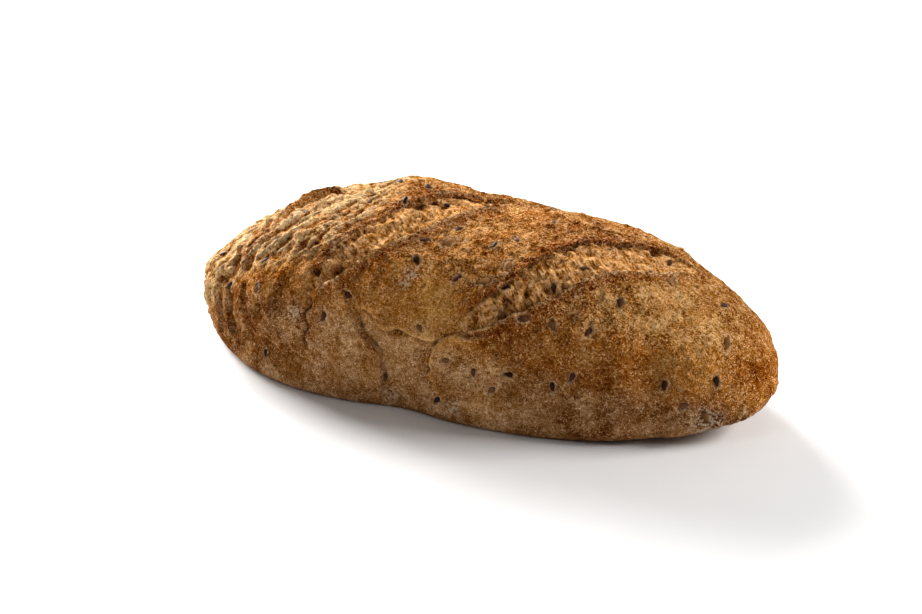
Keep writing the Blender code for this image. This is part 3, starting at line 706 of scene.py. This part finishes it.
def make_mesh(name, points, faces, layers=None):
    """A smooth mesh object in metres, with a float attribute for each named layer."""
    mesh = bpy.data.meshes.new(name)
    faces = np.asarray(faces)
    size = faces.shape[1]
    mesh.vertices.add(len(points))
    mesh.vertices.foreach_set("co", (np.asarray(points) * MM).ravel())
    mesh.loops.add(faces.size)
    mesh.loops.foreach_set("vertex_index", faces.ravel().astype(np.int32))
    mesh.polygons.add(len(faces))
    mesh.polygons.foreach_set("loop_start", np.arange(0, faces.size, size, dtype=np.int32))
    mesh.update(calc_edges=True)
    mesh.polygons.foreach_set("use_smooth", np.ones(len(faces), bool))
    for layer, values in (layers or {}).items():
        made = mesh.attributes.new(layer, "FLOAT", "POINT")
        made.data.foreach_set("value", np.asarray(values, np.float32))
    mesh.validate()
    thing = bpy.data.objects.new(name, mesh)
    bpy.context.scene.collection.objects.link(thing)
    return thing


def blurred(values, quads, rounds):
    """Values averaged with their neighbours, that many times."""
    pairs = np.concatenate([quads[:, [0, 1]], quads[:, [1, 2]], quads[:, [2, 3]], quads[:, [3, 0]]])
    count = np.bincount(pairs.ravel(), minlength=len(values))
    out = values.astype(float)
    for _ in range(rounds):
        total = np.bincount(pairs[:, 0], out[pairs[:, 1]], len(values))
        total += np.bincount(pairs[:, 1], out[pairs[:, 0]], len(values))
        out = 0.5 * out + 0.5 * total / np.maximum(count, 1)
    return out


class Graph:
    """Short ways to write the nodes of a material or the world."""

    def __init__(self, owner):
        owner.use_nodes = True
        self.owner = owner
        self.tree = owner.node_tree
        self.place = self.node("ShaderNodeTexCoord").outputs

    def node(self, kind, inputs=None, **settings):
        made = self.tree.nodes.new(kind)
        for key, value in settings.items():
            setattr(made, key, value)
        for key, value in (inputs or {}).items():
            self.set(made.inputs[key], value)
        return made

    def set(self, socket, value):
        if isinstance(value, bpy.types.NodeSocket):
            self.tree.links.new(value, socket)
        elif isinstance(value, tuple) and len(value) == 3 and socket.type == "RGBA":
            socket.default_value = (*value, 1.0)
        else:
            socket.default_value = value

    def layer(self, name):
        return self.node("ShaderNodeAttribute", attribute_name=name).outputs["Fac"]

    def stretched(self, place, scale):
        return self.node("ShaderNodeVectorMath", {0: place, 1: scale}, operation="MULTIPLY").outputs[0]

    def scaled(self, colour, share):
        return self.node("ShaderNodeVectorMath", {0: colour, "Scale": share}, operation="SCALE").outputs[0]

    def blend(self, share, a, b):
        return self.node("ShaderNodeMix", {0: share, 2: a, 3: b}, data_type="FLOAT").outputs[0]

    def math(self, operation, a, b=0.0, clamp=False):
        return self.node("ShaderNodeMath", {0: a, 1: b}, operation=operation, use_clamp=clamp).outputs[0]

    def noise(self, size_mm, detail=2.0, roughness=0.5, where=None, twist=0.0):
        scale = 1.0 if where else 1 / (size_mm * MM)
        inputs = {"Vector": where or self.place["Object"], "Scale": scale, "Detail": detail,
                  "Roughness": roughness, "Distortion": twist}
        return self.node("ShaderNodeTexNoise", inputs).outputs[0]

    def plus(self, total, value, weight):
        return self.math("ADD", total, self.math("MULTIPLY", value, weight))

    def less(self, value, share=1.0):
        return self.math("SUBTRACT", 1.0, self.math("MULTIPLY", value, share))

    def centred(self, value):
        return self.math("SUBTRACT", value, 0.5)

    def cells(self, size_mm, feature="F1"):
        inputs = {"Vector": self.place["Object"], "Scale": 1 / (size_mm * MM)}
        return self.node("ShaderNodeTexVoronoi", inputs, feature=feature).outputs["Distance"]

    def spots(self, cell_mm, reach, cluster_mm, span):
        """Round spots that lie in clusters."""
        near = self.ramp(self.cells(cell_mm), *reach, 1.0, 0.0)
        return self.math("MULTIPLY", near, self.ramp(self.noise(cluster_mm), *span))

    def ramp(self, value, low, high, out_low=0.0, out_high=1.0):
        return self.node("ShaderNodeMapRange", {0: value, 1: low, 2: high, 3: out_low, 4: out_high},
                         interpolation_type="SMOOTHSTEP").outputs[0]

    def mix(self, share, a, b):
        return self.node("ShaderNodeMix", {0: share, 6: a, 7: b}, data_type="RGBA").outputs[2]

    def lifted(self, colour, amount):
        """The colour made lighter or darker by an amount, as the eye sees it."""
        seen = self.node("ShaderNodeGamma", {"Color": colour, "Gamma": 1 / DISPLAY}).outputs[0]
        moved = self.node("ShaderNodeVectorMath", {0: seen, 1: amount}, operation="ADD").outputs[0]
        kept = self.node("ShaderNodeVectorMath", {0: moved, 1: (LEAST, LEAST, LEAST)}, operation="MAXIMUM")
        return self.node("ShaderNodeGamma", {"Color": kept.outputs[0], "Gamma": DISPLAY}).outputs[0]

    def bump(self, height, distance_mm, strength=1.0, under=None):
        made = self.node("ShaderNodeBump", {"Height": height, "Distance": distance_mm * MM})
        self.set(made.inputs["Strength"], strength)
        if under is not None:
            self.set(made.inputs["Normal"], under)
        return made.outputs[0]

    def finish(self, shader, **inputs):
        for key, value in inputs.items():
            self.set(self.tree.nodes[shader].inputs[key.replace("_", " ")], value)
        return self.owner


def crust_material():
    """The baked crust, its torn and open places, flour and bran."""
    g = Graph(bpy.data.materials.new("crust"))
    crumb, lip, torn, ledge = (g.layer(name) for name in ("crumb", "lip", "torn", "ledge"))
    bake, hollow, rim, flour = (g.layer(name) for name in ("bake", "hollow", "rim", "flour"))
    belt, ridge, browned_and_painted_light, rim_line = (g.layer(name) for name in ("belt", "ridge", "browned_and_painted_light", "rim_line"))
    broad, patch, mottle = (g.noise(*pattern) for pattern in (BROAD, PATCH, MOTTLE))
    grain, fine, woolly = (g.noise(*pattern) for pattern in (GRAINY, FINE, WOOLLY))
    slash_place = g.node("ShaderNodeCombineXYZ", {0: g.layer("along"), 1: g.layer("across")}).outputs[0]
    strands = g.noise(*STRANDS, g.stretched(slash_place, STREAK_SCALE), STRAND_TWIST)
    folds = g.noise(*FOLDS, g.stretched(slash_place, FOLD_SCALE))
    streaks = g.blend(g.ramp(patch, *STREAK_SPAN), woolly, strands)

    open_crust = g.math("MAXIMUM", crumb, torn)
    closed = g.math("SUBTRACT", 1.0, open_crust)
    glazed = g.ramp(g.plus(g.noise(*GLAZE), belt, BELT_GLAZE), *GLAZE_SPAN)
    glazed = g.math("MAXIMUM", g.math("MULTIPLY", glazed, closed), ledge)
    raised = g.math("ADD", bake, g.math("MULTIPLY", belt, BELT_SMOOTH), clamp=True)
    coarse = g.ramp(g.math("MAXIMUM", torn, raised), *FULL, *COARSE_RANGE)
    coarse = g.math("MULTIPLY", coarse, g.less(glazed, SMOOTHED))
    coarse = g.math("MULTIPLY", coarse, g.less(crumb, SMOOTHED))
    lumps = g.math("MULTIPLY", mottle, MOTTLE_LUMPS)
    lumps = g.math("SUBTRACT", lumps, g.cells(PEBBLES, "SMOOTH_F1"))
    lumps = g.math("MULTIPLY", g.math("SUBTRACT", lumps, LUMP_LEVEL), coarse)
    sandy = g.ramp(g.math("MAXIMUM", torn, g.math("MULTIPLY", raised, closed)), *FULL, *SANDY_RANGE)
    beading = g.math("MULTIPLY", g.math("SUBTRACT", g.math("ADD", grain, fine), 1.0), sandy)

    gold = g.mix(g.ramp(patch, *PATCH_SPAN), GOLD_DEEP, GOLD)
    gold = g.mix(g.ramp(g.plus(broad, belt, BELT_AMBER), *AMBER_SPAN), gold, AMBER)
    side = g.mix(g.ramp(patch, *PATCH_SPAN), SIDE_DEEP, SIDE)
    colour = g.mix(g.ramp(g.plus(bake, g.centred(patch), BAKE_RAGGED), *FULL), side, gold)
    # The torn crust: pale on the crests of its folds and ridges and deep in their dips, painted light and
    # shade, broken by patches
    pale_and_lit_folds = g.ramp(g.plus(folds, ridge, PAINTED_RIDGE_IN_FOLDS), *FOLD_SPAN)
    pale_and_lit_folds = g.math("MULTIPLY", pale_and_lit_folds, g.ramp(patch, *FOLD_PATCHES))
    colour = g.mix(torn, colour, g.mix(pale_and_lit_folds, TORN_DEEP_AND_SHADED, TORN))
    # The crumb's colour: golden by its mottling, and a little deeper in its dips, painted shade
    golden_crumb = g.ramp(g.plus(mottle, ridge, PAINTED_RIDGE_IN_CRUMB), *CRUMB_SPAN)
    colour = g.mix(crumb, colour, g.mix(golden_crumb, CRUMB, CRUMB_GOLD))
    colour = g.mix(g.math("MULTIPLY", glazed, GLAZE_SHARE), colour, g.mix(bake, SIDE_DEEP, AMBER))
    colour = g.mix(ledge, colour, RIM_ORANGE)
    toasted = g.math("MULTIPLY", g.ramp(lip, *TOAST_SPAN), g.ramp(patch, *TOAST_PATCHES))
    colour = g.mix(g.math("MULTIPLY", toasted, TOAST_SHARE), colour, RIM_RED)
    # A painted highlight on the rims of the lips and the crests of the edges
    colour = g.mix(g.math("MULTIPLY", rim_line, g.ramp(mottle, *LIT_PATCHES)), colour, RIM_HIGHLIGHT)
    # Browned places darken the colour and paler ones lighten it: baked tone, and painted light and shade
    colour = g.node("ShaderNodeGamma", {"Color": colour, "Gamma": g.plus(1.0, browned_and_painted_light, BROWNED_AND_LIGHT_GAMMA)})
    colour = g.scaled(colour.outputs[0], g.plus(1.0, browned_and_painted_light, BROWNED_AND_LIGHT_DARKENING))

    # Painted glints: bright specks in clusters
    glint_clusters = g.ramp(g.noise(*GLINT_CLUSTERS), *GLINT_PATCHES)
    uneven = g.plus(g.math("MULTIPLY", patch, UNEVEN_PATCH), broad, UNEVEN_BROAD)
    # What lightens or darkens the colour: painted light and shade that follow the relief, painted glints,
    # painted shade in pits, and the crust's own pale bubbles and uneven tone
    layers = dict(lumps=lumps,
                  beading=g.math("MULTIPLY", beading, g.ramp(glazed, *FULL, 1.0, GLAZED_BEADS)),
                  strand_light_and_shade=g.math("MULTIPLY", g.centred(streaks), crumb),
                  fold_light_and_shade=g.math("MULTIPLY", g.centred(folds), torn),
                  ridges=g.math("MULTIPLY", ridge, open_crust),
                  painted_glints=g.math("MULTIPLY", g.ramp(fine, *GLINT_SPAN), glint_clusters),
                  pore_shade=g.spots(*PORE_SHADE_SPOTS),
                  bubbles=g.math("MULTIPLY", g.spots(*BUBBLES), closed),
                  uneven=g.math("MULTIPLY", g.math("SUBTRACT", uneven, UNEVEN_LEVEL), closed))
    painted_light_and_tone = 0.0
    for name, weight in PAINTED_LIGHT_AND_TONE.items():
        painted_light_and_tone = g.plus(painted_light_and_tone, layers[name], weight)
    colour = g.lifted(colour, painted_light_and_tone)
    red = g.node("ShaderNodeSeparateColor", {"Color": colour}).outputs[0]
    over = g.math("MAXIMUM", g.math("DIVIDE", red, MOST_RED), 1.0)
    colour = g.scaled(colour, g.math("DIVIDE", 1.0, over))

    # Painted shade in the hollows of the relief, left off the toasted edges
    colour = g.mix(g.math("MULTIPLY", g.ramp(hollow, *HOLLOW_SHADE_SPAN), g.less(ledge)), colour, BRAN_AND_HOLLOW_SHADE)
    colour = g.mix(g.math("MULTIPLY", rim, g.ramp(grain, *RIM_GRAIN)), colour, PALE)
    colour = g.mix(g.math("MULTIPLY", g.spots(*SPECKS), SPECK_SHARE), colour, PALE)
    colour = g.mix(g.math("MULTIPLY", g.spots(*BRAN), BRAN_SHARE), colour, BRAN_AND_HOLLOW_SHADE)
    dust = g.math("MULTIPLY", g.ramp(flour, *FLOUR_SPAN), g.ramp(grain, *FLOUR_GRAIN))
    colour = g.mix(g.math("MULTIPLY", dust, FLOUR_SHARE), colour, FLOUR)

    opened = g.math("MAXIMUM", crumb, g.math("MULTIPLY", torn, TORN_BUMP))
    normal = g.bump(lumps, LUMP_BUMP)
    normal = g.bump(g.blend(crumb, folds, streaks), OPEN_BUMP, opened, normal)
    normal = g.bump(beading, BEAD_BUMP, 1.0, normal)
    rough = g.plus(g.ramp(glazed, *FULL, *GLAZE_ROUGH), g.less(bake), SIDE_ROUGH)
    rough = g.math("ADD", rough, g.math("MULTIPLY", crumb, OPEN_ROUGH), clamp=True)
    return g.finish(SURFACE, Base_Color=colour, Roughness=rough, Normal=normal, Specular_IOR_Level=0.0)


def seed_material(name, dark, light, roughness):
    """A seed's skin, from dark to light by the tone of each seed."""
    g = Graph(bpy.data.materials.new(name))
    tone_size, tone_weight = SEED_TONE
    streak_size, streak_bump, strength = SEED_STREAK
    tone = g.plus(g.layer("tone"), g.noise(tone_size), tone_weight)
    colour = g.mix(g.ramp(tone, *SEED_TONE_SPAN), dark, light)
    normal = g.bump(g.noise(streak_size), streak_bump, strength)
    return g.finish(SURFACE, Base_Color=colour, Roughness=roughness, Normal=normal,
                    Specular_IOR_Level=SEED_SHINE)


def floor_material():
    """A plain pale floor, a little uneven."""
    g = Graph(bpy.data.materials.new("floor"))
    colour = g.mix(g.ramp(g.noise(*FLOOR_PATTERN), *FLOOR_SPAN), FLOOR, FLOOR_SOFT)
    return g.finish(SURFACE, Base_Color=colour, Roughness=FLOOR_ROUGH)


def seed_form():
    """One seed of unit half sizes: a flat drop, pointed at one end."""
    shape = bmesh.new()
    around, along = SEED_SEGMENTS
    bmesh.ops.create_uvsphere(shape, u_segments=around, v_segments=along, radius=1.0)
    bmesh.ops.triangulate(shape, faces=shape.faces)
    corners = np.array([v.co[:] for v in shape.verts])
    sides = np.array([[v.index for v in f.verts] for f in shape.faces])
    shape.free()
    corners = corners[:, [2, 0, 1]]
    taper = 1 - SEED_TAPER[0] * corners[:, 0] - SEED_TAPER[1] * corners[:, 0] ** 2
    corners[:, 1] *= taper
    corners[:, 2] *= taper
    return corners, sides


def lay_seeds(plain, points, normals):
    """The seeds by kind, as one mesh a kind; each has its own tone."""
    corners, sides = seed_form()
    draw = np.random.default_rng(SEED + 120)
    kinds = {"flax_seeds": [], "dark_flax_seeds": [], "grains": []}
    for centre, size, turn in seed_places():
        middle, axes = lay_seed(centre, size, turn, plain, points, normals)
        body = middle + (corners * size) @ np.array(axes)
        kind = "dark_flax_seeds" if draw.uniform() < DARK_SHARE else "flax_seeds"
        kind = "grains" if size is GRAIN else kind
        kinds[kind].append((body, np.full(len(corners), draw.uniform())))
    made = []
    for kind, bodies in kinds.items():
        faces = np.concatenate([sides + len(corners) * i for i in range(len(bodies))])
        tones = np.concatenate([tone for _, tone in bodies])
        made.append(make_mesh(kind, np.concatenate([body for body, _ in bodies]), faces, {"tone": tones}))
    return made


def area_light(name, place, target, size, energy, colour):
    """A soft area light at place, looking at target; all in metres."""
    light = bpy.data.lights.new(name, "AREA")
    light.shape = "RECTANGLE"
    light.size, light.size_y = size
    light.energy = energy
    light.color = colour
    thing = bpy.data.objects.new(name, light)
    thing.location = place
    thing.rotation_euler = (Vector(target) - Vector(place)).to_track_quat("-Z", "Y").to_euler()
    bpy.context.scene.collection.objects.link(thing)


def set_camera():
    """The camera at the photograph's angle."""
    azimuth, elevation, roll = (math.radians(v) for v in (VIEW_AZIMUTH, VIEW_ELEVATION, VIEW_ROLL))
    back = Vector((math.sin(azimuth) * math.cos(elevation), -math.cos(azimuth) * math.cos(elevation),
                   math.sin(elevation)))
    data = bpy.data.cameras.new("view")
    data.sensor_fit = "HORIZONTAL"
    data.sensor_width = SENSOR
    data.lens = FOCAL_PX / PHOTO_WIDTH * SENSOR
    camera = bpy.data.objects.new("view", data)
    camera.location = Vector(VIEW_TARGET) + back * VIEW_DISTANCE
    turn = (-back).to_track_quat("-Z", "Y").to_matrix() @ Matrix.Rotation(roll, 3, "Z")
    camera.rotation_euler = turn.to_euler()
    bpy.context.scene.collection.objects.link(camera)
    bpy.context.scene.camera = camera


def set_world():
    """A pale studio: brightest overhead and behind, dim at the front, plain white where it shows."""
    g = Graph(bpy.data.worlds.new("studio"))
    total = SKY_AMBIENT
    for toward, strength, power in SKY_LOBES:
        inputs = {0: g.place["Generated"], 1: tuple(Vector(toward).normalized())}
        ahead = g.node("ShaderNodeVectorMath", inputs, operation="DOT_PRODUCT").outputs["Value"]
        total = g.plus(total, g.math("POWER", g.math("MAXIMUM", ahead, 0.0), power), strength)
    seen = g.node("ShaderNodeLightPath").outputs["Is Camera Ray"]
    bpy.context.scene.world = g.finish("Background", Color=SKY, Strength=g.blend(seen, total, 1.0))


def set_stage():
    """The plain floor, the world and the lights."""
    half = FLOOR_SIZE / 2
    corners = np.array([(-half, -half, 0), (half, -half, 0), (half, half, 0), (-half, half, 0)])
    floor = make_mesh("floor", corners / MM, np.array([[0, 1, 2, 3]]))
    floor.data.materials.append(floor_material())
    set_world()
    for name, place, size, energy, colour in LIGHTS:
        area_light(name, place, LIGHT_TARGET, size, energy, colour)


def seed_rims(plain, normals):
    """For every point, how much it belongs to the raised rim round a seed, and to the dip at its edge."""
    rim, dip = np.zeros(len(plain)), np.zeros(len(plain))
    for centre, size, turn in seed_places():
        near = np.nonzero(np.all(np.abs(plain - centre) < SEED_REACH, axis=1))[0]
        _, run, wide = seed_axes(centre, turn, plain, normals)
        gap = plain[near] - centre
        r = np.hypot(gap @ run / size[0], gap @ wide / size[1])
        side = RIM_SIDES[0] + RIM_SIDES[1] * (gap @ wide) / np.maximum(np.linalg.norm(gap, axis=1), 0.1)
        rim[near] = np.maximum(rim[near], side * np.exp(-((r - RIM_RING[0]) / RIM_RING[1]) ** 2))
        dip[near] = np.maximum(dip[near], np.exp(-((r - DIP_RING[0]) / DIP_RING[1]) ** 2))
    return rim, dip


def spot(plain, station, girth, radius):
    """A soft round spot: one at its place on the crust, nothing well beyond its radius."""
    centre = on_form([(station, girth)])[0]
    return np.exp(-(np.linalg.norm(plain - centre, axis=1) / radius) ** 2)


def colour_layers(plain, places, torn):
    """The layers of the crust's colour that follow its plain form."""
    station, girth, z = places[:, 0], places[:, 1], plain[:, 2]
    above = z - smooth_curve(STATIONS, BAKE_LINE, station / HALF_LENGTH)
    bake = ease(above, *BAKE_FADE) * (1 - BAKE_TORN * torn)
    belt = ease(above, *BELT_START) * (1 - ease(above, *BELT_END)) * (1 - torn)
    foot = FOOT_FLOUR
    flour = foot["most"] * ease(foot["top"] - z, 0, foot["fade"])
    flour *= foot["least"] + (1 - foot["least"]) * ease(station, *foot["stations"])
    for at, across, radius in FLOUR_SPOTS:
        flour = np.maximum(flour, spot(plain, at, across, radius))
    # Soft spots of baked tone and painted light and shade, and painted shade on the back
    browned_and_painted_light = np.zeros(len(plain))
    for at, across, radius, amount in BROWNED_AND_PAINTED_LIGHT:
        browned_and_painted_light += amount * spot(plain, at, across, radius)
    uneven_size, uneven = BROWNED_AND_LIGHT_UNEVEN
    browned_and_painted_light *= 1 + uneven * noise(plain / uneven_size, 39)
    start, end, closed_share, torn_share = BACK_PAINTED_SHADE
    browned_and_painted_light += ease(girth, start, end) * (closed_share + torn_share * torn)
    return dict(bake=bake, belt=belt, flour=flour, browned_and_painted_light=browned_and_painted_light)


def small_relief(plain, along, across, state, rim, dip):
    """The height of the relief that only the fine mesh carries."""
    small = sum(height * noise(plain / size, draw) for size, height, draw in SMALL_ROUGH)
    small *= 1 - SMALL_LEDGE * state["ledge"]
    by_slash = np.stack([along, across, plain[:, 2]], 1)
    combed_size, low, high = COMBED
    combed = ease(noise(plain / combed_size, 35), low, high)
    fibres = combed * noise(by_slash / STRAND_SIZE, 32) + (1 - combed) * noise(plain / WOOL_SIZE, 36)
    lump_size, lump_height = CRUMB_LUMPS
    small += state["crumb"] * (STRAND_HEIGHT * fibres + lump_height * noise(plain / lump_size, 37))
    grain_size, grain_height = CRINKLE_GRAIN
    crinkles = CRINKLE_HEIGHT * noise(by_slash / CRINKLE_SIZE, 33)
    small += state["torn"] * (crinkles + grain_height * noise(plain / grain_size, 38))
    rim_size, rim_uneven = RIM_UNEVEN
    small += RIM_HEIGHT * rim * (1 + rim_uneven * noise(plain / rim_size, 34)) - DIP_DEPTH * dip
    return small


def make_crust():
    """The loaf's crust, with the layers that its material reads."""
    rows, quads = form()
    plain, places = rows[:, :3], rows[:, 3:]
    if np.einsum("ij,ij->", vertex_normals(plain, quads), plain - (0, 0, WAIST)) < 0:
        quads = quads[:, ::-1]
    points, state = relief(plain, quads, places)
    normals = vertex_normals(points, quads)
    station, girth = places[:, 0], places[:, 1]
    c, s = np.cos(SLASH_TURN), np.sin(SLASH_TURN)
    along, across = station * c + girth * s, girth * c - station * s
    rim, dip = seed_rims(plain, vertex_normals(plain, quads))
    small = small_relief(plain, along, across, state, rim, dip)
    points = points + (small * ease(plain[:, 2], *BASE_BAND))[:, None] * normals
    points[:, 2] = np.maximum(points[:, 2], 0)
    height = state["height"] + small
    # Painted shade in the hollows: how far the height lies below its near average
    depth = blurred(height, quads, HOLLOW_SHADE_ROUNDS) - height
    hollow = np.clip(depth / FULL_DEPTH, 0, 1) * ease(points[:, 2], *HOLLOW_SHADE_BASE)
    # Painted light on crests and painted shade in dips: how far the height stands above its wide average
    ridge = np.clip((height - blurred(height, quads, PAINTED_RIDGE_ROUNDS)) / FULL_DEPTH, -1, 1)
    crumb = blurred(state["crumb"], quads, 1)
    layers = colour_layers(plain, places, state["torn"])
    layers.update(crumb=crumb, lip=state["lip"] * (1 - crumb), torn=state["torn"], ledge=state["ledge"],
                  rim_line=state["rim_line"], hollow=hollow, ridge=ridge, rim=rim, along=along,
                  across=across)
    crust = make_mesh("crust", points, quads, layers)
    crust.data.materials.append(crust_material())
    return crust, plain, points, vertex_normals(points, quads)


def main():
    """The loaf on its frame, the stage and the camera."""
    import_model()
    scene = bpy.context.scene
    scene.view_settings.view_transform = "Standard"
    crust, plain, points, normals = make_crust()
    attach(crust, "root")
    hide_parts("spelt_loaf")
    for piece in lay_seeds(plain, points, normals):
        piece.data.materials.append(seed_material(piece.name, *SEED_FINISHES[piece.name]))
        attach(piece, "root")
    set_stage()
    set_camera()


main()
